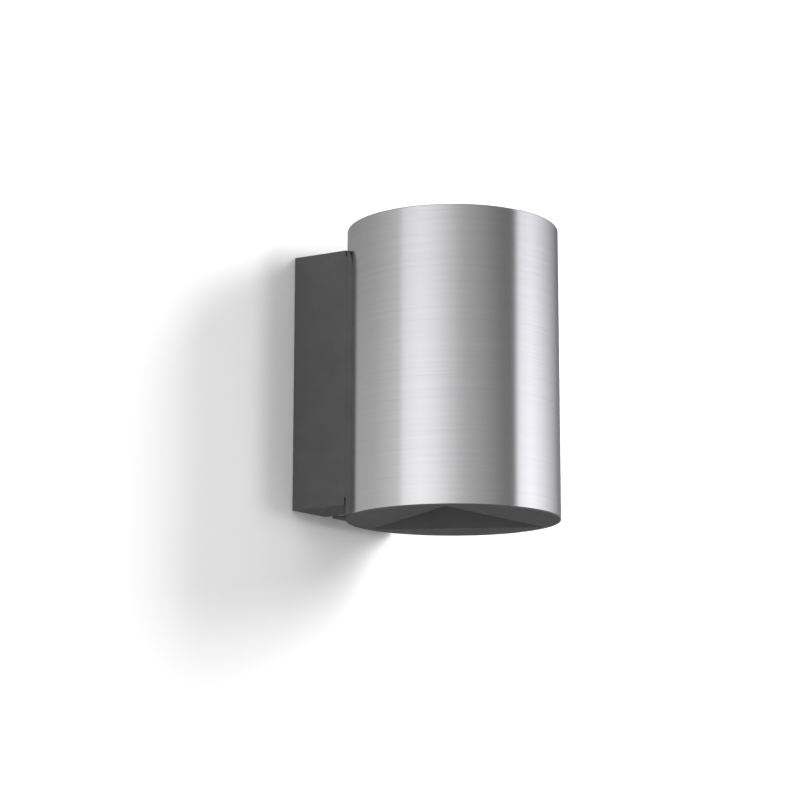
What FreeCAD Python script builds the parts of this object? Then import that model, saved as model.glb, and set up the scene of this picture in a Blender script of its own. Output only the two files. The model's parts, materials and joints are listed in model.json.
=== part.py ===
import FreeCAD, Part
import math
import os

# Tube wall light: a brushed steel tube with a dark recessed lower cap, carried on the wall by a
# flat dark box. Millimetres. +Z is up, the wall is the plane y = 0 and the light stands out from
# it towards -Y. The origin is on the wall, at the middle of the box and of its two wall slots.
# "out" is a distance from the wall, "level" is a height above the steel tube's lower edge.

Vector = FreeCAD.Vector

# ---- driving dimensions ----
TUBE_R = 45.0               # steel tube, outside
TUBE_H = 124.0
TUBE_WALL = 1.0
TUBE_EDGE = 0.5             # rounding of the upper edge
AXIS_OUT = 56.75            # tube axis to wall
CAP_LIP = 0.75              # the lower cap stands this far below the steel

BOX_W = 73.3                # box on the wall
BOX_H = 109.5
BOX_OUT = 27.9
BOX_WALL = 2.5
BOX_TOP_FALL = 0.8          # draft of the top face over the box's depth
BOX_FOOT_RISE = 0.25        # draft of the lower face over the box's depth
BOX_ABOVE_RIM = 4.1         # box's lower edge above the tube's lower edge
LIP = 0.7                   # thin lip outside the seal's groove, along the box's front corners
SEAL_W = 0.9
SLOT_TOP = 2.6              # the lip stops short of the box's ends and leaves dark slots
SLOT_FOOT = 3.0

NECK_TOP = 55.1             # neck of the lamp body, which fills the cut in the steel tube's back
NECK_CORNER = 8.0           # its upper corners, seen from the wall
NECK_GAP = 0.05             # between the box's front and the neck
CUT_GAP = 0.12              # between the neck and the steel
RIB_TOP = 48.0              # neck's side ribs, straight up to here and rounded above
RIB_ROUND = 7.0

TRI_INRADIUS = 21.6         # three-sided light recess, at the cap's face
TRI_CORNER = 1.0
TRI_DRAFT = 12.0            # degrees
TRI_WALL = 1.6

GAP = 0.1                   # play between curved faces that meet

# ---- derived places ----
TUBE_IN_R = TUBE_R - TUBE_WALL
CORE_R = TUBE_IN_R - 0.2            # what slides into the tube
BOX_HALF_W = BOX_W / 2
BOX_HALF_H = BOX_H / 2
RIM_Z = -BOX_HALF_H - BOX_ABOVE_RIM
WEB_R = TUBE_R + GAP                # the box's hollow front face
WEB_BACK_R = WEB_R + 2.5
SPINE_IN_R = 41.3
SPINE_HALF_W = 38.0
GROOVE_X = (BOX_HALF_W - LIP - SEAL_W, BOX_HALF_W - LIP)    # seal's groove in the box's front

# levels above the steel tube's lower edge
FLOOR_LOW = 13.5                    # floor of the recess
FLOOR_TOP = 15.5
LENS_LOW = 16.4
LENS_TOP = 18.9
BOARD_LOW = 33.4
BOARD_TOP = 35.0
SINK_BASE_TOP = 39.0
SHELF_LOW = 58.0
SHELF_TOP = 61.0
CROWN_LOW = 119.5
CROWN_TOP = 122.5
DISC_TOP = TUBE_H - 0.2

# inside parts
WINDOW_R = 15.5
LENS_R = 17.4
SINK_R = 21.0
PILLAR_R = 3.6
PILLAR_AT = 26.0
LEAD_R = 0.9
LEAD_BEND = 4.0
LEAD_OUT = 6.4
GROMMET_Z = 10.0
GROMMET_R = 4.5
SLOT_SPACING = 68.0                 # wall slots
SLOT_LENGTH = 12.0
SLOT_R = 2.3
BRACKET_T = 1.5
BRACKET_HALF_W = 14.0
BRACKET_HALF_H = 49.0
NOTCH_X = (9.0, 14.2)               # drain notches in the box's lower wall
NOTCH_OUT = 10.5
HOUSING_SCREW_OUT = 5.6
BODY_SCREW_X = 22.0
BODY_SCREW_Z = 38.0
DRIVER_FOOT_X = 28.0
SINK_SCREW_Y = 9.0
BOARD_SCREW_X = 15.5
BLOCK_X = (17.5, 28.5)
BLOCK_OUT = (2.5, 12.0)
BLOCK_HALF_H = 16.0
BLOCK_MIDDLE = sum(BLOCK_X) / 2
POLE_PITCH = 10.0
FIXING_Z = POLE_PITCH / 2           # the block's fixing screw sits between two poles


# ---- helpers ----
def at_level(level):
    return RIM_Z + level


def block(x0, x1, out0, out1, z0, z1):
    return Part.makeBox(x1 - x0, out1 - out0, z1 - z0, Vector(x0, -out1, z0))


def post(radius, z0, z1, x=0.0, out=AXIS_OUT):
    return Part.makeCylinder(radius, z1 - z0, Vector(x, -out, z0))


def peg(radius, x, z, out0, out1):
    return Part.makeCylinder(radius, out1 - out0, Vector(x, -out0, z), Vector(0, -1, 0))


def ring(outer, inner, z0, z1):
    return post(outer, z0, z1).cut(post(inner, z0, z1))


def slot_through(half_width, length, z, out0, out1):
    straight = length / 2 - half_width
    body = block(-half_width, half_width, out0, out1, z - straight, z + straight)
    ends = [peg(half_width, 0, z + end, out0, out1) for end in (-straight, straight)]
    return body.fuse(ends)


def around(radius, angles):
    """Points on a circle about the tube axis, as (x, out), with 90 degrees towards the wall."""
    places = []
    for angle in angles:
        turn = math.radians(angle)
        places.append((radius * math.cos(turn), AXIS_OUT - radius * math.sin(turn)))
    return places


def triangle_wire(inradius, corner, z):
    """Rounded triangle about the tube axis: one side to the front, one corner to the wall."""
    edges = []
    arcs = []
    for middle in (90.0, 210.0, 330.0):
        reach = 2 * (inradius - corner)
        turn = math.radians(middle)
        centre = Vector(reach * math.cos(turn), -AXIS_OUT + reach * math.sin(turn), z)
        points = []
        for angle in (middle - 60, middle, middle + 60):
            turn = math.radians(angle)
            points.append(centre + Vector(corner * math.cos(turn), corner * math.sin(turn), 0))
        arcs.append(points)
    for number, points in enumerate(arcs):
        following = arcs[(number + 1) % 3]
        edges.append(Part.Arc(*points).toShape())
        edges.append(Part.LineSegment(points[2], following[0]).toShape())
    return Part.Wire(edges)


def triangle_funnel(grow, low, high):
    """Drafted triangular solid from one level to another, grown outwards by grow."""
    wires = []
    for level in (low, high):
        inradius = TRI_INRADIUS - (level + CAP_LIP) * math.tan(math.radians(TRI_DRAFT)) + grow
        wires.append(triangle_wire(inradius, TRI_CORNER + grow, at_level(level)))
    return Part.makeLoft(wires, True, True)


def neck_prism(grow, low):
    """The neck's outline as seen from the wall, as a solid, grown by grow on its sides and top."""
    half = BOX_HALF_W + grow
    top = NECK_TOP + grow
    body = block(-half, half, 0, AXIS_OUT, low, top)
    corners = []
    for edge in body.Edges:
        middle = edge.CenterOfMass
        if abs(abs(middle.x) - half) < 0.01 and abs(middle.z - top) < 0.01:
            corners.append(edge)
    return body.makeFillet(NECK_CORNER + grow, corners)


def screw(head_r, head_h, shank_r, length, head_at, direction):
    """Pan-head screw with a hexagon socket; head_at is under the head, direction is down it."""
    shank = Part.makeCylinder(shank_r, length, head_at, direction)
    top = head_at - direction * head_h
    head = Part.makeCylinder(head_r, head_h, top, direction)
    rim = [edge for edge in head.Edges if edge.Closed and (edge.CenterOfMass - top).Length < 0.01]
    head = head.makeFillet(head_h * 0.35, rim)
    socket_r = head_r * 0.5
    polygon = []
    side = Vector(1, 0, 0) if abs(direction.x) < 0.5 else Vector(0, 1, 0)
    other = direction.cross(side)
    for number in range(7):
        turn = math.radians(60 * number)
        spoke = side * math.cos(turn) + other * math.sin(turn)
        polygon.append(top + spoke * socket_r)
    socket = Part.Face(Part.makePolygon(polygon)).extrude(direction * (head_h * 0.6))
    return head.cut(socket).fuse(shank).removeSplitter()


def lead(points, radius=LEAD_R):
    """Insulated wire along straight runs joined by tangent arcs."""
    points = [Vector(x, -out, z) for x, out, z in points]
    edges = []
    start = points[0]
    for before, corner, after in zip(points, points[1:], points[2:]):
        back = (before - corner).normalize()
        ahead = (after - corner).normalize()
        half_turn = (math.pi - back.getAngle(ahead)) / 2
        reach = LEAD_BEND * math.tan(half_turn)
        first = corner + back * reach
        last = corner + ahead * reach
        inward = (back + ahead).normalize()
        middle = corner + inward * (LEAD_BEND / math.cos(half_turn) - LEAD_BEND)
        edges.append(Part.LineSegment(start, first).toShape())
        edges.append(Part.Arc(first, middle, last).toShape())
        start = last
    edges.append(Part.LineSegment(start, points[-1]).toShape())
    path = Part.Wire(edges)
    section = Part.Wire(Part.makeCircle(radius, points[0], points[1] - points[0]))
    solid = path.makePipeShell([section], True, False)
    print("lead volume / section x length:", round(
        abs(solid.Volume) / (math.pi * radius ** 2 * path.Length), 4))
    return Part.Solid(solid.Shells[0]) if solid.ShapeType != "Solid" else solid


# ---- seen from outside ----
def steel_tube():
    sleeve = post(TUBE_R, RIM_Z, at_level(TUBE_H))
    top_edge = [edge for edge in sleeve.Edges
                if edge.Closed and abs(edge.CenterOfMass.z - at_level(TUBE_H)) < 0.01]
    sleeve = sleeve.makeFillet(TUBE_EDGE, top_edge)
    sleeve = sleeve.cut(post(TUBE_IN_R, RIM_Z, at_level(TUBE_H)))
    return sleeve.cut(neck_prism(CUT_GAP, RIM_Z - 5))


def top_disc():
    disc = post(TUBE_IN_R - 0.05, at_level(CROWN_TOP + 0.1), at_level(DISC_TOP))
    top_edge = [edge for edge in disc.Edges
                if edge.Closed and abs(edge.CenterOfMass.z - at_level(DISC_TOP)) < 0.01]
    return disc.makeChamfer(0.2, top_edge)


def bottom_cap():
    flange = post(TUBE_R, at_level(-CAP_LIP), RIM_Z)
    foot_edge = [edge for edge in flange.Edges
                 if edge.Closed and abs(edge.CenterOfMass.z - at_level(-CAP_LIP)) < 0.01]
    flange = flange.makeChamfer(0.25, foot_edge)
    spigot = ring(CORE_R, CORE_R - 2.0, RIM_Z - 0.2, at_level(5))
    spigot = spigot.cut(block(-TUBE_R, TUBE_R, 0, AXIS_OUT - 15.9, RIM_Z, at_level(6)))
    collar = ring(LENS_R + 1.8, LENS_R + 0.2, at_level(FLOOR_TOP - 0.2), at_level(LENS_TOP + 0.3))
    cap = flange.fuse([triangle_funnel(TRI_WALL, -0.3, FLOOR_TOP), spigot, collar])
    cap = cap.cut(triangle_funnel(0, -CAP_LIP, FLOOR_LOW))
    cap = cap.cut(post(WINDOW_R, at_level(FLOOR_LOW - 1), at_level(FLOOR_TOP + 1)))
    for x, out in around(PILLAR_AT, (90, 210, 330)):
        cap = cap.cut(post(1.7, at_level(FLOOR_LOW - 1), at_level(FLOOR_TOP + 1), x, out))
    return cap.removeSplitter()


def side_ribs():
    """The neck's flat sides between box and tube, level with the box's sides."""
    front = AXIS_OUT - math.sqrt(TUBE_R ** 2 - BOX_HALF_W ** 2)
    ribs = []
    for side in (-1, 1):
        x0, x1 = sorted((side * (BOX_HALF_W - 3), side * BOX_HALF_W))
        rounded = Part.makeCylinder(RIB_ROUND, x1 - x0, Vector(x0, RIB_ROUND - front, RIB_TOP),
                                    Vector(1, 0, 0))
        rib = rounded.fuse(block(x0, x1, front - RIB_ROUND, front, RIM_Z + 0.05, RIB_TOP))
        ribs.append(rib.common(block(x0, x1, BOX_OUT + NECK_GAP, front, RIM_Z, BOX_HALF_H)))
    return [rib.cut(post(TUBE_R + GAP, 0, BOX_HALF_H)) for rib in ribs]


def lamp_body():
    back_half = block(-SPINE_HALF_W, SPINE_HALF_W, 0, AXIS_OUT, RIM_Z, at_level(CROWN_TOP))
    spine = ring(CORE_R, SPINE_IN_R, at_level(0.05), at_level(CROWN_TOP)).common(back_half)
    before_box = block(-TUBE_R, TUBE_R, BOX_OUT + NECK_GAP, AXIS_OUT, RIM_Z, NECK_TOP + 1)
    neck = neck_prism(0, RIM_Z + 0.05).common(post(TUBE_R, RIM_Z, NECK_TOP + 1).fuse(before_box))
    neck = neck.cut(post(SPINE_IN_R, RIM_Z, NECK_TOP + 1))
    shelf = post(CORE_R, at_level(SHELF_LOW), at_level(SHELF_TOP))
    crown = post(CORE_R, at_level(CROWN_LOW), at_level(CROWN_TOP))
    bosses = []
    for x, out in around(PILLAR_AT, (90, 210, 330)):
        bosses.append(post(PILLAR_R, at_level(FLOOR_TOP + 0.05), at_level(SHELF_LOW + 1), x, out))
    for x in (-BODY_SCREW_X, BODY_SCREW_X):
        for z in (-BODY_SCREW_Z, BODY_SCREW_Z):
            bosses.append(peg(4.0, x, z, 20, 26))
    body = spine.fuse([neck, shelf, crown] + side_ribs() + bosses)
    body = body.cut(post(28, at_level(CROWN_LOW - 1), at_level(CROWN_TOP + 1)))
    body = body.cut(triangle_funnel(TRI_WALL + 0.3, -0.3, FLOOR_TOP + 0.04))
    body = body.cut(peg(GROMMET_R + GAP, 0, GROMMET_Z, 8, 20))
    for x in (-BODY_SCREW_X, BODY_SCREW_X):
        for z in (-BODY_SCREW_Z, BODY_SCREW_Z):
            body = body.cut(peg(2.0, x, z, 10, 30))
    for x, out in around(PILLAR_AT, (90, 210, 330)):
        body = body.cut(post(1.5, at_level(FLOOR_TOP), at_level(FLOOR_TOP + 12), x, out))
    for x in (-DRIVER_FOOT_X, DRIVER_FOOT_X):
        body = body.cut(post(1.5, at_level(SHELF_LOW - 1), at_level(SHELF_TOP + 1), x))
    for side in (-SINK_SCREW_Y, SINK_SCREW_Y):
        body = body.cut(post(1.7, at_level(SHELF_LOW - 1), at_level(SHELF_TOP + 1),
                             0, AXIS_OUT + side))
    wire_hole = post(3.0, at_level(SHELF_LOW - 1), at_level(SHELF_TOP + 1), -33)
    return body.cut(wire_hole).removeSplitter()


def drafted_box(half_w, out0, out1, low_wall, low_front, top_wall, top_front):
    """Box whose top and lower faces slope a little from the wall to the front."""
    outline = [Vector(-half_w, -out0, low_wall), Vector(-half_w, -out1, low_front),
               Vector(-half_w, -out1, top_front), Vector(-half_w, -out0, top_wall)]
    side = Part.Face(Part.makePolygon(outline + outline[:1]))
    return side.extrude(Vector(2 * half_w, 0, 0))


def back_housing():
    top = BOX_HALF_H
    outer = drafted_box(BOX_HALF_W, 0, BOX_OUT, -top, -top + BOX_FOOT_RISE,
                        top, top - BOX_TOP_FALL)
    shell = outer.cut(post(WEB_R, -100, 100))
    for side in (-1, 1):
        edges = sorted((side * GROOVE_X[0], side * GROOVE_X[1]))
        shell = shell.cut(block(edges[0], edges[1], BOX_OUT - LIP, BOX_OUT + 1, -100, 100))
        edges = sorted((side * GROOVE_X[0], side * (BOX_HALF_W + 1)))
        for low, high in ((-100, -top + BOX_FOOT_RISE + SLOT_FOOT),
                          (top - BOX_TOP_FALL - SLOT_TOP, 100)):
            shell = shell.cut(block(edges[0], edges[1], BOX_OUT - LIP, BOX_OUT + 1, low, high))
    hollow = drafted_box(BOX_HALF_W - BOX_WALL, -1, BOX_OUT - BOX_WALL, -top + BOX_WALL,
                         -top + BOX_WALL + BOX_FOOT_RISE, top - BOX_WALL,
                         top - BOX_WALL - BOX_TOP_FALL)
    shell = shell.cut(hollow.cut(post(WEB_BACK_R, -100, 100)))
    inner_top = top - BOX_WALL
    hook_rib = block(-9, 9, 2.4, 4.2, BRACKET_HALF_H + 0.4, inner_top + 0.5)
    screw_boss = post(3.2, -inner_top - 0.5, -BRACKET_HALF_H - 0.1, 0, HOUSING_SCREW_OUT)
    block_boss = peg(3.5, BLOCK_MIDDLE, FIXING_Z, BLOCK_OUT[1], 16)
    earth_boss = peg(4.0, -BODY_SCREW_X, 0, 10, 16)
    bosses = [hook_rib, screw_boss, block_boss, earth_boss]
    for x in (-BODY_SCREW_X, BODY_SCREW_X):
        for z in (-BODY_SCREW_Z, BODY_SCREW_Z):
            bosses.append(peg(4.4, x, z, 12, 17))
    shell = shell.fuse([boss.cut(post(WEB_R, -100, 100)) for boss in bosses])
    for x in (-BODY_SCREW_X, BODY_SCREW_X):
        for z in (-BODY_SCREW_Z, BODY_SCREW_Z):
            shell = shell.cut(peg(2.1, x, z, 8, 22))
    shell = shell.cut(peg(1.5, BLOCK_MIDDLE, FIXING_Z, 8, 15.5))
    shell = shell.cut(peg(2.0, -BODY_SCREW_X, 0, 8, 15))
    shell = shell.cut(peg(GROMMET_R + GAP, 0, GROMMET_Z, 8, 20))
    shell = shell.cut(post(2.1, -top - 1, -BRACKET_HALF_H + 1, 0, HOUSING_SCREW_OUT))
    shell = shell.cut(post(3.8, -top - 1, -top + 2.2, 0, HOUSING_SCREW_OUT))
    for side in (-1, 1):
        edges = sorted((side * NOTCH_X[0], side * NOTCH_X[1]))
        shell = shell.cut(block(edges[0], edges[1], -1, NOTCH_OUT, -top - 1, -inner_top + 0.5))
    return shell.removeSplitter()


def joint_seals():
    strips = []
    low = -BOX_HALF_H + BOX_FOOT_RISE + 0.1
    high = BOX_HALF_H - BOX_TOP_FALL - 0.1
    for side in (-1, 1):
        edges = sorted((side * (GROOVE_X[0] + 0.02), side * (GROOVE_X[1] - 0.02)))
        strips.append(block(edges[0], edges[1], BOX_OUT - LIP + 0.02, BOX_OUT, low, high))
    return Part.makeCompound(strips)


# ---- on the wall and in the box ----
def wall_bracket():
    half = BRACKET_HALF_H
    plate = block(-BRACKET_HALF_W, BRACKET_HALF_W, 0, BRACKET_T, -half, half)
    pieces = [
        block(-9, 9, 0, 6.2, half - BRACKET_T, half),
        block(-9, 9, 4.7, 6.2, half - BRACKET_T, half + 2.4),
        block(-8, 8, 0, 8.9, -half, -half + BRACKET_T),
    ]
    for side in (-1, 1):
        edges = sorted((side * (BRACKET_HALF_W - BRACKET_T), side * BRACKET_HALF_W))
        pieces.append(block(edges[0], edges[1], 0, 10, -half, -half + 11))
        pieces.append(block(edges[0], edges[1], 6, 10, -BOX_HALF_H + 0.15, -half + 11))
    bracket = plate.fuse(pieces)
    for z in (-SLOT_SPACING / 2, SLOT_SPACING / 2):
        bracket = bracket.cut(slot_through(SLOT_R, SLOT_LENGTH, z, -1, BRACKET_T + 1))
    bracket = bracket.cut(post(1.95, -half - 1, -half + BRACKET_T + 1, 0, HOUSING_SCREW_OUT))
    return bracket.removeSplitter()


def wall_gasket():
    outer = BOX_HALF_W - BOX_WALL - GAP
    high = BOX_HALF_H - BOX_WALL - GAP - 0.1
    frame = block(-outer, outer, 0, 2.2, -high, high)
    frame = frame.cut(block(-outer + 3, outer - 3, -1, 3, -high + 2.7, high - 2.7))
    for side in (-1, 1):
        edges = sorted((side * (NOTCH_X[0] - 0.3), side * (NOTCH_X[1] + 0.3)))
        frame = frame.cut(block(edges[0], edges[1], -1, 3, -high - 1, -high + 4))
    return frame


def housing_screw():
    under_head = Vector(0, -HOUSING_SCREW_OUT, -BOX_HALF_H + 2.2)
    return screw(3.5, 2.0, 1.9, 8.0, under_head, Vector(0, 0, 1))


def terminal_block():
    body = block(BLOCK_X[0], BLOCK_X[1], BLOCK_OUT[0], BLOCK_OUT[1], -BLOCK_HALF_H, BLOCK_HALF_H)
    for z in (-POLE_PITCH, 0, POLE_PITCH):
        entry = Part.makeCylinder(1.6, 20, Vector(BLOCK_X[0] - 1, -LEAD_OUT, z), Vector(1, 0, 0))
        body = body.cut(entry)
        for x in (BLOCK_MIDDLE - 3.2, BLOCK_MIDDLE + 3.2):
            body = body.cut(peg(1.5, x, z, 0, 5.5))
    for z in (-POLE_PITCH / 2, POLE_PITCH / 2):
        body = body.cut(block(BLOCK_X[0] - 1, BLOCK_X[1] + 1, 0, 4.0, z - 0.6, z + 0.6))
    body = body.cut(peg(2.4, BLOCK_MIDDLE, FIXING_Z, 0, 6.0))
    return body.cut(peg(1.5, BLOCK_MIDDLE, FIXING_Z, 0, 20))


def terminal_screws():
    screws = []
    for z in (-POLE_PITCH, 0, POLE_PITCH):
        for x in (BLOCK_MIDDLE - 3.2, BLOCK_MIDDLE + 3.2):
            pin = peg(1.4, x, z, 3.0, 5.4)
            screws.append(pin.cut(block(x - 1.5, x + 1.5, 2.9, 3.5, z - 0.25, z + 0.25)))
    return Part.makeCompound(screws)


def terminal_fixing_screw():
    return screw(2.2, 1.5, 1.4, 9.0, Vector(BLOCK_MIDDLE, -6.0, FIXING_Z), Vector(0, -1, 0))


def earth_screw():
    return screw(3.4, 2.2, 1.9, 5.5, Vector(-BODY_SCREW_X, -9.2, 0), Vector(0, -1, 0))


def earth_tag():
    eye = peg(3.8, -BODY_SCREW_X, 0, 9.25, 9.95)
    barrel = Part.makeCylinder(1.6, 6, Vector(-BODY_SCREW_X + 3.5, -8.3, 0), Vector(1, 0, 0))
    neck = block(-BODY_SCREW_X + 2, -BODY_SCREW_X + 5, 8.4, 9.95, -1.2, 1.2)
    tag = eye.fuse([barrel, neck])
    tag = tag.cut(Part.makeCylinder(LEAD_R, 5, Vector(-BODY_SCREW_X + 5.5, -8.3, 0),
                                    Vector(1, 0, 0)))
    return tag.cut(peg(1.95, -BODY_SCREW_X, 0, 0, 20)).cut(
        peg(3.45, -BODY_SCREW_X, 0, 0, 9.2)).removeSplitter()


def live_lead():
    return lead([(BLOCK_X[0] + 1, LEAD_OUT, POLE_PITCH), (1.3, LEAD_OUT, GROMMET_Z),
                 (1.3, 42.7, GROMMET_Z)])


def neutral_lead():
    return lead([(BLOCK_X[0] + 1, LEAD_OUT, 0), (8.0, LEAD_OUT, 0), (-1.3, LEAD_OUT, GROMMET_Z),
                 (-1.3, 42.7, GROMMET_Z)])


def earth_lead():
    return lead([(BLOCK_X[0] + 1, LEAD_OUT, -POLE_PITCH), (2.0, LEAD_OUT, -POLE_PITCH),
                 (-6.0, 8.3, 0),
                 (-BODY_SCREW_X + 6, 8.3, 0)])


def lead_grommet():
    sleeve = peg(GROMMET_R, 0, GROMMET_Z, 8.2, 17.0)
    collar = peg(GROMMET_R + 1.8, 0, GROMMET_Z, 8.15, 9.1)
    grommet = sleeve.fuse(collar)
    for x in (-1.3, 1.3):
        grommet = grommet.cut(peg(LEAD_R, x, GROMMET_Z, 0, 30))
    grommet = grommet.cut(peg(3.3, 0, GROMMET_Z, 0, 11.0))
    return grommet.removeSplitter()


def body_screws():
    screws = []
    for x in (-BODY_SCREW_X, BODY_SCREW_X):
        for z in (-BODY_SCREW_Z, BODY_SCREW_Z):
            screws.append(screw(3.5, 2.4, 1.95, 12.0, Vector(x, -12, z), Vector(0, -1, 0)))
    return Part.makeCompound(screws)


# ---- inside the tube ----
def lens():
    disc = post(LENS_R, at_level(LENS_LOW), at_level(LENS_TOP))
    return disc.makeChamfer(0.3, [edge for edge in disc.Edges if edge.Closed])


def lens_seal():
    return ring(LENS_R, WINDOW_R + 0.2, at_level(FLOOR_TOP), at_level(LENS_LOW))


def reflector():
    low = at_level(LENS_TOP + 0.05)
    high = at_level(BOARD_LOW - 0.05)
    wall = 0.8
    profile = [(LENS_R - 0.3, low), (LENS_R - 0.3, low + wall), (LENS_R - 1.2, low + wall),
               (8.0, high), (7.2, high), (LENS_R - 2.2, low)]
    points = [Vector(radius, -AXIS_OUT, z) for radius, z in profile]
    face = Part.Face(Part.makePolygon(points + points[:1]))
    return face.revolve(Vector(0, -AXIS_OUT, 0), Vector(0, 0, 1), 360)


def led_emitter():
    dome = post(6.0, at_level(BOARD_LOW - 1.0), at_level(BOARD_LOW))
    return dome.makeFillet(0.5, [edge for edge in dome.Edges if edge.Closed
                                 and edge.CenterOfMass.z < at_level(BOARD_LOW - 0.5)])


def led_board():
    board = post(SINK_R - 1, at_level(BOARD_LOW), at_level(BOARD_TOP))
    for x in (-BOARD_SCREW_X, BOARD_SCREW_X):
        board = board.cut(post(1.6, at_level(BOARD_LOW - 1), at_level(BOARD_TOP + 1), x))
    return board


def board_screws():
    screws = []
    for x in (-BOARD_SCREW_X, BOARD_SCREW_X):
        head = Vector(x, -AXIS_OUT, at_level(BOARD_LOW))
        screws.append(screw(2.7, 1.8, 1.45, 5.0, head, Vector(0, 0, 1)))
    return Part.makeCompound(screws)


def heat_sink():
    base = post(SINK_R, at_level(BOARD_TOP), at_level(SINK_BASE_TOP))
    fins = []
    for number in range(-4, 5):
        x = number * 4.6
        fins.append(block(x - 0.8, x + 0.8, AXIS_OUT - SINK_R, AXIS_OUT + SINK_R,
                          at_level(SINK_BASE_TOP - 0.5), at_level(SHELF_LOW - 0.05)))
    round_bar = post(SINK_R, at_level(BOARD_TOP), at_level(SHELF_LOW))
    sink = base.fuse([fin.common(round_bar) for fin in fins])
    for side in (-SINK_SCREW_Y, SINK_SCREW_Y):
        sink = sink.fuse(post(3.4, at_level(SINK_BASE_TOP - 0.5), at_level(SHELF_LOW - 0.05),
                              0, AXIS_OUT + side))
    for side in (-SINK_SCREW_Y, SINK_SCREW_Y):
        sink = sink.cut(post(1.5, at_level(SHELF_LOW - 12), at_level(SHELF_LOW + 1),
                             0, AXIS_OUT + side))
    for x in (-BOARD_SCREW_X, BOARD_SCREW_X):
        sink = sink.cut(post(1.5, at_level(BOARD_TOP - 1), at_level(SINK_BASE_TOP), x))
    return sink.removeSplitter()


def sink_screws():
    screws = []
    for side in (-SINK_SCREW_Y, SINK_SCREW_Y):
        head = Vector(0, -AXIS_OUT - side, at_level(SHELF_TOP))
        screws.append(screw(2.7, 1.8, 1.45, 12.0, head, Vector(0, 0, -1)))
    return Part.makeCompound(screws)


def led_driver():
    body = block(-24, 24, AXIS_OUT - 14, AXIS_OUT + 16, at_level(SHELF_TOP + 3),
                 at_level(SHELF_TOP + 25))
    body = body.makeFillet(1.0, [edge for edge in body.Edges if edge.Length < 25])
    feet = block(-32, 32, AXIS_OUT - 5, AXIS_OUT + 5, at_level(SHELF_TOP + 3),
                 at_level(SHELF_TOP + 5))
    pads = [block(x - 4, x + 4, AXIS_OUT - 5, AXIS_OUT + 5, at_level(SHELF_TOP),
                  at_level(SHELF_TOP + 3.2)) for x in (-DRIVER_FOOT_X, DRIVER_FOOT_X)]
    driver = body.fuse([feet] + pads)
    for x in (-DRIVER_FOOT_X, DRIVER_FOOT_X):
        driver = driver.cut(post(1.6, at_level(SHELF_TOP - 1), at_level(SHELF_TOP + 6), x))
    driver = driver.cut(post(3.2, at_level(SHELF_TOP - 1), at_level(SHELF_TOP + 6), -33))
    return driver.removeSplitter()


def driver_screws():
    screws = []
    for x in (-DRIVER_FOOT_X, DRIVER_FOOT_X):
        head = Vector(x, -AXIS_OUT, at_level(SHELF_TOP + 5))
        screws.append(screw(2.7, 1.8, 1.45, 7.5, head, Vector(0, 0, -1)))
    return Part.makeCompound(screws)


def led_leads():
    leads = []
    for side in (7.5, 9.5):
        out = AXIS_OUT + side
        leads.append(lead([(-24.0, out, at_level(76)), (-33, out, at_level(76)),
                           (-33, AXIS_OUT + side - 8.5, at_level(66)),
                           (-33, AXIS_OUT + side - 8.5, at_level(34.2)),
                           (-20.05, AXIS_OUT + side - 8.5, at_level(34.2))], 0.7))
    return Part.makeCompound(leads)


def cap_screws():
    screws = []
    for x, out in around(PILLAR_AT, (90, 210, 330)):
        head = Vector(x, -out, at_level(FLOOR_LOW))
        screws.append(screw(2.75, 2.0, 1.45, 12.0, head, Vector(0, 0, 1)))
    return Part.makeCompound(screws)


SUB_PARTS = [steel_tube, top_disc, bottom_cap, lamp_body, back_housing, joint_seals,
             wall_bracket, wall_gasket, housing_screw, terminal_block, terminal_screws,
             terminal_fixing_screw, earth_screw, earth_tag, earth_lead, live_lead, neutral_lead,
             lead_grommet, body_screws, lens, lens_seal, reflector, led_emitter, led_board,
             board_screws, heat_sink, sink_screws, led_driver, driver_screws, led_leads,
             cap_screws]


def main():
    os.makedirs("parts", exist_ok=True)
    for make in SUB_PARTS:
        shape = make()
        if not shape.isValid() or shape.Volume <= 0:
            print("CHECK", make.__name__, shape.isValid(), shape.Volume)
        print(make.__name__, len(shape.Solids), "solid(s)", round(shape.Volume, 1))
        shape.exportStep(os.path.join("parts", make.__name__ + ".step"))


main()
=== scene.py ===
import json
import math

import bmesh
import bpy
from mathutils import Matrix, Vector

# Looks of the tube wall light: a finish for every CAD piece, the white wall and pale floor, the
# studio light and the camera. Metres, in the CAD frame: wall at y = 0, light towards -Y, +Z up.

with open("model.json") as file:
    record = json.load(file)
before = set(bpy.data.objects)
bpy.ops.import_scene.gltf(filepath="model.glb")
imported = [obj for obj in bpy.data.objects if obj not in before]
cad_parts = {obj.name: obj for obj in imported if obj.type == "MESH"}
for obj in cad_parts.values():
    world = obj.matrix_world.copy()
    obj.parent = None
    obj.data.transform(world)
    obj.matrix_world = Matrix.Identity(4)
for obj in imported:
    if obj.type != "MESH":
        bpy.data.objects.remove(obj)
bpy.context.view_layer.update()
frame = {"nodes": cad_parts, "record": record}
nodes = frame["nodes"]
record_colours = {entry["slot"]: entry["base_color"] for entry in frame["record"]["materials"]}

# ---- camera ----
CAMERA_AT = (-0.7692, -0.58285, -0.1935)
CAMERA_YAW = -54.2526       # degrees, 0 looks along +Y
CAMERA_PITCH = 11.2629
CAMERA_ROLL = 0.0996
CAMERA_LENS = 101.166       # millimetres, as the sensor's width
CAMERA_SENSOR = 36
CAMERA_RANGE = (0.05, 20)   # nearest and farthest thing that it sees

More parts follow.
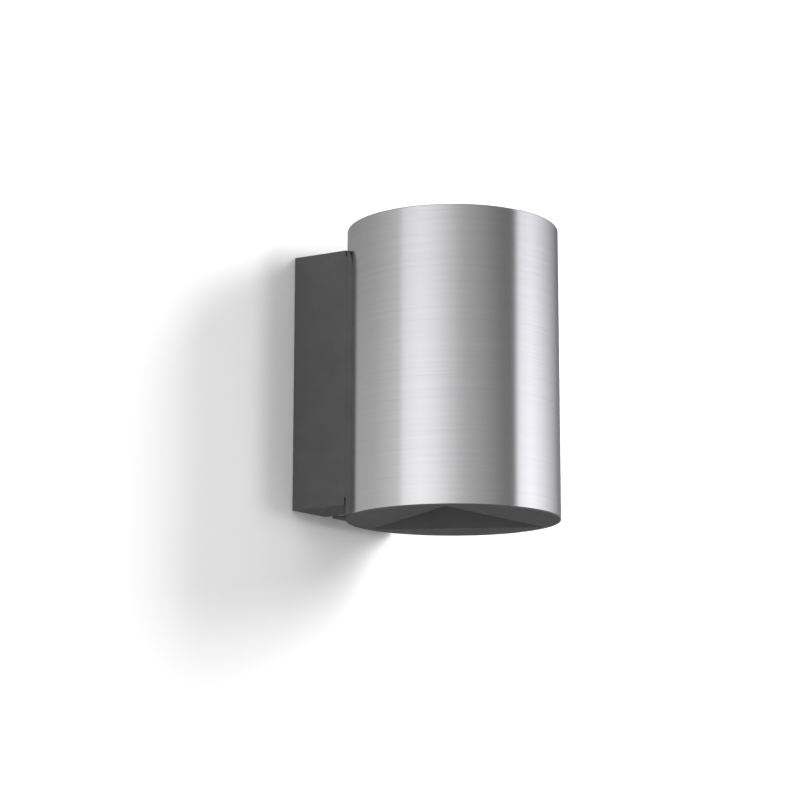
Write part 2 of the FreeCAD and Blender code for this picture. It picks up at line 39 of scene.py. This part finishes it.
# ---- wall and floor ----
BOX_HALF_W = 0.03665        # the housing that stands on the wall
BOX_HALF_H = 0.05475
OPENING_INSET = 0.0029      # the wall's opening stays this far inside the housing's outline
WALL_GAP = 0.0003           # the wall stands this far behind the bracket's back
FLOOR_Z = -0.9
SHEET_REACH = 3.0           # half the width of wall and floor
WALL_ALBEDO = 0.9
FLOOR_ALBEDO = 0.3
WALL_GLOW = (0.0, 0.6)      # for the camera only: near the light, and far from it
FLOOR_GLOW = (0.55, 0.8)
GLOW_REACH = (0.35, 1.1)    # the glow rises between these distances

# ---- light ----
LAMP_AIM = (0, -0.04, 0)
LAMPS = {                   # place, width and power
    "key_lamp": ((1.3, -1.17, 0.8), 1.0, 40),
    "left_lamp": ((-1.5, -0.6, -0.62), 0.5, 5.5),
    "front_lamp": ((0.33, -1.87, -0.13), 0.5, 8.2),
}
ROOM_LIGHT = 0.57
MIRROR_LEVEL = 2.02
# each goes from one height or side to another, and has the light's share at both
ROOM_HEIGHT = (-0.5, 0.4, 0.4, 1.0)
ROOM_SIDE = (-1.0, 1.0, 2.2, 0.3)
MIRROR_TOP = (0.19, 0.28, 1.0, 0.58)        # the mirrored ring gets darker upwards,
MIRROR_FOOT = (-0.15, 0.08, 0.45, 1.0)      # and below the horizon,
MIRROR_FLOOR = (-0.55, -0.38, 0.6, 0.0)     # down to the pale floor
MIRROR_TURN = (0.19, 0.25, 0.0, 0.012)      # its right half turns a little with height
# what shiny pieces mirror: compass directions in degrees (0 is +X, 90 is into the wall) and the
# light level there, with even falls in between
MIRROR_RING = {
    "left_panel": [(-180, 1.75), (-165, 1.55), (-135, 0.8), (-88, 0.3), (-76.5, 0.2)],
    "right_panel": [(-74.5, 1.65), (-55, 1.85), (-18, 0.85), (5, 0.3)],
    "dark_end": [(25, 0.25)],
    "wall": [(45, 0.45), (120, 0.7), (156.5, 1.05)],
    "left_panel_edge": [(158.5, 1.5), (180, 1.75)],
}
RING_TOP = 1.9              # the ramp's colours are shares of this level
RING_TINTS = {"right_panel": (1.0, 0.99, 1.03)}

# ---- patterns ----
# noise: scale, detail and roughness
BRUSH_LINE = (1.0, 3.0, 0.6)
BRUSH_BAND = (0.13, 2.0, 0.5)
SCRATCH_LINE = (0.42, 1.0, 0.3)
SCRATCH_PATCH = (70.0, 1.0, 0.4)
MOTTLE = (85.0, 3.0, 0.55)
DUST_PATCH = (160.0, 4.0, 0.6)
# the part of a pattern's range that shows
SCRATCH_LINE_SHOWS = (0.735, 0.76)
SCRATCH_PATCH_SHOWS = (0.52, 0.6)
SPECK_SHOWS = (0.10, 0.05)
DUST_SHOWS = (0.35, 0.7)
DUST_SLOPE = (0.3, 0.95)
BRUSH_SHOWS = (0.33, 0.67)
MOTTLE_SHOWS = (0.35, 0.65)
GRAIN_SHOWS = (0.4, 0.9)
STRIPE_SHOWS = (0.5, 0.56)
STRIPE_SCALE = 190.0

# ---- finishes ----
YELLOW = (0.78, 0.62, 0.04, 1)
DUST = (0.34, 0.33, 0.31, 1)
STEEL_LINES = (55, 55, 6000)        # round the tube
TOP_LINES = (55, 6000, 55)          # straight across the top disc
SKINS = {                   # grain size, roughness, bump strength and specular level
    "black_rubber": (0.0004, 0.72, 0.35, 0.3),
    "foam_rubber": (0.0011, 0.9, 1.0, 0.15),
    "white_nylon": (0.0005, 0.42, 0.2, 0.5),
    "brown_insulation": (0.0006, 0.38, 0.2, 0.5),
    "blue_insulation": (0.0006, 0.38, 0.2, 0.5),
    "white_insulation": (0.0006, 0.4, 0.2, 0.5),
    "silicone": (0.0005, 0.5, 0.2, 0.4),
    "phosphor": (0.0003, 0.3, 0.15, 0.6),
    "board_mask": (0.0004, 0.32, 0.15, 0.5),
    "driver_case": (0.0005, 0.5, 0.25, 0.4),
}
METALS = {                  # grain size, roughness and contrast of the cloudy film
    "zinc_steel": (0.0009, 0.3, 0.12),
    "stainless_screws": (0.0004, 0.28, 0.06),
    "brass_screws": (0.0003, 0.25, 0.08),
    "zinc_screws": (0.0004, 0.3, 0.1),
    "tinned_brass": (0.0005, 0.33, 0.08),
    "reflector_metal": (0.0004, 0.16, 0.03),
    "bare_aluminium": (0.0005, 0.36, 0.06),
}


# ---- node helpers ----
def join(tree, socket, value):
    """Gives a socket a value or another node's output."""
    if isinstance(value, bpy.types.NodeSocket):
        tree.links.new(value, socket)
    else:
        socket.default_value = value


def add(tree, kind, inputs=None, **settings):
    """Adds a shader node with its inputs and settings."""
    node = tree.nodes.new("ShaderNode" + kind)
    for name, value in settings.items():
        setattr(node, name, value)
    for name, value in (inputs or {}).items():
        join(tree, node.inputs[name], value)
    return node


def maths(tree, operation, first, second):
    return add(tree, "Math", {0: first, 1: second}, operation=operation).outputs[0]


def times(tree, *factors):
    product = factors[0]
    for factor in factors[1:]:
        product = maths(tree, "MULTIPLY", product, factor)
    return product


def spread(tree, value, low, high, to_low=0.0, to_high=1.0):
    """Maps a value from one range to another and keeps it inside."""
    node = add(tree, "MapRange", {"Value": value, "From Min": low, "From Max": high,
                                  "To Min": to_low, "To Max": to_high})
    return node.outputs["Result"]


def blend(tree, share, first, second):
    """Mixes two colours; a Mix node's colours are its sockets 6 and 7."""
    node = add(tree, "Mix", data_type="RGBA")
    for number, value in ((0, share), (6, first), (7, second)):
        join(tree, node.inputs[number], value)
    return node.outputs[2]


def noise(tree, vector, scale, detail, rough):
    return add(tree, "TexNoise", {"Vector": vector, "Scale": scale, "Detail": detail,
                                  "Roughness": rough}).outputs["Fac"]


def object_place(tree):
    return add(tree, "TexCoord").outputs["Object"]


def new_group(name, label, kind, value, outputs):
    """Empty shader node group with one input; returns it with its input and its output node."""
    tree = bpy.data.node_groups.new(name, "ShaderNodeTree")
    socket = tree.interface.new_socket(label, in_out="INPUT", socket_type="NodeSocket" + kind)
    socket.default_value = value
    for output in outputs:
        tree.interface.new_socket(output, in_out="OUTPUT", socket_type="NodeSocketFloat")
    start = tree.nodes.new("NodeGroupInput").outputs[label]
    return tree, start, tree.nodes.new("NodeGroupOutput").inputs


def place_group(tree, group, **inputs):
    node = tree.nodes.new("ShaderNodeGroup")
    node.node_tree = group
    for name, value in inputs.items():
        node.inputs[name].default_value = value
    return node.outputs


# ---- shared effects ----
def make_brushing():
    """Fine lines of brushed metal. Stretch is the pattern's frequency along X, Y and Z."""
    tree, stretch, end = new_group("brushing", "Stretch", "Vector", STEEL_LINES,
                                   ["Line", "Band", "Scratch"])
    place = object_place(tree)
    stretched = add(tree, "VectorMath", {0: place, 1: stretch},
                    operation="MULTIPLY").outputs["Vector"]
    long_lines = spread(tree, noise(tree, stretched, *SCRATCH_LINE), *SCRATCH_LINE_SHOWS)
    patches = spread(tree, noise(tree, place, *SCRATCH_PATCH), *SCRATCH_PATCH_SHOWS)
    join(tree, end["Line"], noise(tree, stretched, *BRUSH_LINE))
    join(tree, end["Band"], noise(tree, stretched, *BRUSH_BAND))
    join(tree, end["Scratch"], times(tree, long_lines, patches))
    return tree


def make_grain():
    """Skin of a coated or moulded surface: Size is one grain in metres."""
    tree, size, end = new_group("grain", "Size", "Float", 0.0004, ["Height", "Mottle", "Speck"])
    place = object_place(tree)
    fine = maths(tree, "DIVIDE", 1.0, size)
    grains = times(tree, noise(tree, place, fine, 3.0, 0.55), 0.6)
    waves = times(tree, noise(tree, place, times(tree, fine, 0.22), 1.0, 0.4), 0.7)
    dots = add(tree, "TexVoronoi", {"Vector": place, "Scale": times(tree, fine, 0.3),
                                    "Randomness": 1.0}).outputs["Distance"]
    join(tree, end["Height"], maths(tree, "ADD", grains, waves))
    join(tree, end["Mottle"], noise(tree, place, *MOTTLE))
    join(tree, end["Speck"], spread(tree, dots, *SPECK_SHOWS))
    return tree


def make_dust():
    """Thin dust on surfaces that look up, patchy."""
    tree, amount, end = new_group("dust", "Amount", "Float", 0.2, ["Mask"])
    up = add(tree, "SeparateXYZ", {0: add(tree, "NewGeometry").outputs["Normal"]}).outputs["Z"]
    patches = spread(tree, noise(tree, object_place(tree), *DUST_PATCH), *DUST_SHOWS)
    join(tree, end["Mask"], times(tree, spread(tree, up, *DUST_SLOPE), patches, amount))
    return tree


# ---- finishes ----
def new_finish(slot):
    """Material of that slot, with its tree and its shader in the record's colour."""
    material = bpy.data.materials.new(slot)
    material.use_nodes = True
    tree = material.node_tree
    shader = tree.nodes["Principled BSDF"]
    shader.inputs["Base Color"].default_value = tone_of(slot)
    return material, tree, shader


def tone_of(slot, factor=1.0):
    """The record's colour of that slot, lighter or darker by a factor."""
    return [min(1.0, part * factor) for part in record_colours[slot][:3]] + [1.0]


def set_values(shader, **values):
    """Plain values on the shader's own sockets; _ in a name stands for a space."""
    for name, value in values.items():
        shader.inputs[name.replace("_", " ")].default_value = value


def bumped(tree, shader, height, strength, distance):
    bump = add(tree, "Bump", {"Height": height, "Strength": strength, "Distance": distance})
    join(tree, shader.inputs["Normal"], bump.outputs["Normal"])


def brushed_metal(slot, groups, lines, rough=0.23, edge=1.0):
    """Stainless sheet with fine lines and a few faint scratches; edge dims it at flat angles, as
    painted shade.
    """
    material, tree, shader = new_finish(slot)
    brushing = place_group(tree, groups["brushing"], Stretch=lines)
    tone = maths(tree, "ADD", times(tree, brushing["Line"], 0.65),
                 times(tree, brushing["Band"], 0.35))
    lined = blend(tree, spread(tree, tone, *BRUSH_SHOWS), tone_of(slot, 0.96),
                  tone_of(slot, 1.04))
    join(tree, shader.inputs["Base Color"],
         blend(tree, times(tree, brushing["Scratch"], 0.35), lined, tone_of(slot, 1.2)))
    join(tree, shader.inputs["Roughness"],
         spread(tree, brushing["Line"], 0.3, 0.7, rough - 0.012, rough + 0.015))
    bumped(tree, shader, brushing["Line"], 0.03, 0.00002)
    set_values(shader, Metallic=1.0, Anisotropic=0.6, Anisotropic_Rotation=0.25,
               Specular_Tint=(edge, edge, edge, 1))
    around = add(tree, "Tangent", direction_type="RADIAL", axis="Z")
    join(tree, shader.inputs["Tangent"], around.outputs["Tangent"])
    return material


def dark_coat(slot, groups):
    """Matt anthracite powder coat on the castings, a little lighter than the record's colour."""
    material, tree, shader = new_finish(slot)
    grain = place_group(tree, groups["grain"], Size=0.00035)
    dust = place_group(tree, groups["dust"], Amount=0.10)["Mask"]
    cloudy = blend(tree, spread(tree, grain["Mottle"], *MOTTLE_SHOWS), tone_of(slot, 0.987),
                   tone_of(slot, 1.1025))
    specked = blend(tree, times(tree, grain["Speck"], 0.25), cloudy, tone_of(slot, 1.575))
    join(tree, shader.inputs["Base Color"], blend(tree, dust, specked, DUST))
    join(tree, shader.inputs["Roughness"],
         spread(tree, grain["Height"], *GRAIN_SHOWS, 0.5, 0.64))
    bumped(tree, shader, grain["Height"], 0.18, 0.00004)
    set_values(shader, Specular_IOR_Level=0.4)
    return material


def skin(slot, groups, size, rough, depth, specular, contrast=0.06):
    """Rubber or plastic with its own fine skin."""
    material, tree, shader = new_finish(slot)
    grain = place_group(tree, groups["grain"], Size=size)
    join(tree, shader.inputs["Base Color"],
         blend(tree, spread(tree, grain["Mottle"], *MOTTLE_SHOWS), tone_of(slot, 1 - contrast),
               tone_of(slot, 1 + contrast)))
    join(tree, shader.inputs["Roughness"],
         spread(tree, grain["Height"], *GRAIN_SHOWS, rough - 0.05, rough + 0.06))
    bumped(tree, shader, grain["Height"], depth, size * 0.12)
    set_values(shader, Specular_IOR_Level=specular)
    return material, tree, shader


def plain_metal(slot, groups, size, rough, contrast):
    """Plated, turned or extruded metal with a cloudy film and fine grain."""
    material, tree, shader = skin(slot, groups, size, rough, 0.12, 0.5, contrast)
    set_values(shader, Metallic=1.0)
    return material


def striped_insulation(slot, groups):
    """Green insulation with a yellow stripe that winds round it."""
    material, tree, shader = skin(slot, groups, 0.0006, 0.38, 0.25, 0.5)
    stripes = add(tree, "TexWave", {"Vector": object_place(tree), "Scale": STRIPE_SCALE,
                                    "Distortion": 0.0}, bands_direction="DIAGONAL").outputs["Fac"]
    join(tree, shader.inputs["Base Color"],
         blend(tree, spread(tree, stripes, *STRIPE_SHOWS), tone_of(slot), YELLOW))
    return material


def frosted_glass(slot, groups):
    material, tree, shader = new_finish(slot)
    grain = place_group(tree, groups["grain"], Size=0.0003)
    join(tree, shader.inputs["Roughness"],
         spread(tree, grain["Height"], *GRAIN_SHOWS, 0.28, 0.4))
    bumped(tree, shader, grain["Height"], 0.2, 0.00003)
    set_values(shader, Transmission_Weight=1.0, IOR=1.5)
    return material


def make_finishes():
    groups = {"brushing": make_brushing(), "grain": make_grain(), "dust": make_dust()}
    finishes = {
        "brushed_steel": brushed_metal("brushed_steel", groups, STEEL_LINES),
        # the top disc's edge of 0.45 is painted shade: a darker copy of the steel that dims its
        # bright reflection at flat angles
        "top_steel": brushed_metal("top_steel", groups, TOP_LINES, rough=0.3, edge=0.45),
        "dark_coating": dark_coat("dark_coating", groups),
        "green_insulation": striped_insulation("green_insulation", groups),
        "frosted_glass": frosted_glass("frosted_glass", groups),
    }
    for slot, values in SKINS.items():
        finishes[slot] = skin(slot, groups, *values)[0]
    for slot, values in METALS.items():
        finishes[slot] = plain_metal(slot, groups, *values)
    return finishes


def dress_cad_pieces():
    finishes = make_finishes()
    for entry in frame["record"]["subparts"]:
        mesh = nodes[entry["node"]].data
        mesh.materials.clear()
        mesh.materials.append(finishes[entry["material_slot"]])


# ---- wall and floor ----
def stage_material(name, albedo, glows, see_through_back):
    """Pale for the camera, still with the object's shadow."""
    material = bpy.data.materials.new(name)
    material.use_nodes = True
    tree = material.node_tree
    tree.nodes.clear()
    seen = add(tree, "LightPath").outputs["Is Camera Ray"]
    reach = add(tree, "VectorMath", {0: object_place(tree)}, operation="LENGTH").outputs["Value"]
    lit = add(tree, "BsdfDiffuse", {"Color": (albedo, albedo, albedo, 1)}).outputs[0]
    glow = add(tree, "Emission", {"Color": (1, 1, 1, 1), "Strength": times(
        tree, seen, spread(tree, reach, *GLOW_REACH, *glows))}).outputs[0]
    surface = add(tree, "AddShader", {0: lit, 1: glow}).outputs[0]
    if see_through_back:
        back = add(tree, "NewGeometry").outputs["Backfacing"]
        clear = add(tree, "BsdfTransparent").outputs[0]
        surface = add(tree, "MixShader", {0: back, 1: surface, 2: clear}).outputs[0]
    add(tree, "OutputMaterial", {"Surface": surface})
    return material


def stage_sheet(name, mesh, material):
    data = bpy.data.meshes.new(name)
    mesh.to_mesh(data)
    mesh.free()
    data.materials.append(material)
    sheet = bpy.data.objects.new(name, data)
    bpy.context.scene.collection.objects.link(sheet)
    sheet.visible_glossy = False


def make_wall():
    """Big upright sheet with an opening behind the housing, which hides it from the front."""
    mesh = bmesh.new()
    bmesh.ops.create_grid(mesh, x_segments=3, y_segments=3, size=1.0)
    for vertex in mesh.verts:
        side, height = vertex.co.x, vertex.co.y
        x = SHEET_REACH if abs(side) > 0.5 else BOX_HALF_W - OPENING_INSET
        z = SHEET_REACH if abs(height) > 0.5 else BOX_HALF_H - OPENING_INSET
        vertex.co = Vector((math.copysign(x, side), WALL_GAP, math.copysign(z, height)))
    middle = [face for face in mesh.faces if face.calc_center_median().length < 0.01]
    bmesh.ops.delete(mesh, geom=middle, context="FACES")
    for face in mesh.faces:
        face.normal_update()
        if face.normal.y > 0:
            face.normal_flip()
    stage_sheet("wall", mesh, stage_material("wall_white", WALL_ALBEDO, WALL_GLOW, True))


def make_floor():
    mesh = bmesh.new()
    bmesh.ops.create_grid(mesh, x_segments=1, y_segments=1, size=SHEET_REACH)
    bmesh.ops.translate(mesh, verts=mesh.verts, vec=(0, 0, FLOOR_Z))
    stage_sheet("floor", mesh, stage_material("floor_pale", FLOOR_ALBEDO, FLOOR_GLOW, False))


# ---- light ----
def mirror_ring(tree, turn):
    """Colour ramp of the ring; turn goes from 0 to 1 round the compass from -180 degrees."""
    ramp = add(tree, "ValToRGB", {"Fac": turn})
    stops = ramp.color_ramp.elements
    for panel, levels in MIRROR_RING.items():
        tint = RING_TINTS.get(panel, (1.0, 1.0, 1.0))
        for degrees, level in levels:
            ends = {-180: 0, 180: len(stops) - 1}
            stop = stops[ends[degrees]] if degrees in ends else stops.new((degrees + 180) / 360)
            stop.color = [level / RING_TOP * part for part in tint] + [1.0]
    return ramp.outputs["Color"]


def background(tree, colour, strength):
    return add(tree, "Background", {"Color": colour, "Strength": strength}).outputs[0]


def make_world():
    """Soft room, lighter above and to the left; shiny pieces mirror the ring of panels."""
    world = bpy.data.worlds.new("studio")
    bpy.context.scene.world = world
    world.use_nodes = True
    tree = world.node_tree
    tree.nodes.clear()
    path = add(tree, "LightPath").outputs
    way = add(tree, "SeparateXYZ", {0: add(tree, "TexCoord").outputs["Generated"]}).outputs
    side, height = way["X"], way["Z"]

    room_level = times(tree, spread(tree, height, *ROOM_HEIGHT), spread(tree, side, *ROOM_SIDE),
                       ROOM_LIGHT)
    room = background(tree, (1, 1, 1, 1), room_level)

    compass = maths(tree, "ADD", maths(tree, "ARCTAN2", way["Y"], side), math.pi)
    right_half = maths(tree, "GREATER_THAN", side, 0.0)
    turn = maths(tree, "SUBTRACT", maths(tree, "DIVIDE", compass, 2 * math.pi),
                 times(tree, right_half, spread(tree, height, *MIRROR_TURN)))
    below = maths(tree, "MAXIMUM", spread(tree, height, *MIRROR_FOOT),
                  spread(tree, height, *MIRROR_FLOOR))
    mirrored = background(tree, mirror_ring(tree, turn), times(
        tree, spread(tree, height, *MIRROR_TOP), below, MIRROR_LEVEL))

    white = background(tree, (1, 1, 1, 1), 1.0)
    light = add(tree, "MixShader", {0: path["Is Glossy Ray"], 1: room, 2: mirrored}).outputs[0]
    light = add(tree, "MixShader", {0: path["Is Camera Ray"], 1: light, 2: white}).outputs[0]
    add(tree, "OutputWorld", {"Surface": light})


def hang_lamp(name, place, width, power):
    data = bpy.data.lights.new(name, "AREA")
    data.shape = "DISK"
    data.size = width
    data.energy = power
    lamp = bpy.data.objects.new(name, data)
    bpy.context.scene.collection.objects.link(lamp)
    lamp.location = place
    lamp.rotation_euler = (Vector(LAMP_AIM) - Vector(place)).to_track_quat("-Z", "Y").to_euler()
    lamp.visible_glossy = False
    lamp.visible_camera = False


# ---- camera ----
def set_up_camera():
    data = bpy.data.cameras.new("camera")
    data.lens = CAMERA_LENS
    data.sensor_width = CAMERA_SENSOR
    data.clip_start, data.clip_end = CAMERA_RANGE
    camera = bpy.data.objects.new("camera", data)
    bpy.context.scene.collection.objects.link(camera)
    camera.matrix_world = (Matrix.Translation(CAMERA_AT)
                           @ Matrix.Rotation(math.radians(CAMERA_YAW), 4, "Z")
                           @ Matrix.Rotation(math.radians(90 + CAMERA_PITCH), 4, "X")
                           @ Matrix.Rotation(math.radians(CAMERA_ROLL), 4, "Z"))
    bpy.context.scene.camera = camera
    bpy.context.scene.view_settings.view_transform = "Standard"


set_up_camera()
dress_cad_pieces()
make_world()
make_wall()
make_floor()
for lamp_name, lamp_values in LAMPS.items():
    hang_lamp(lamp_name, *lamp_values)
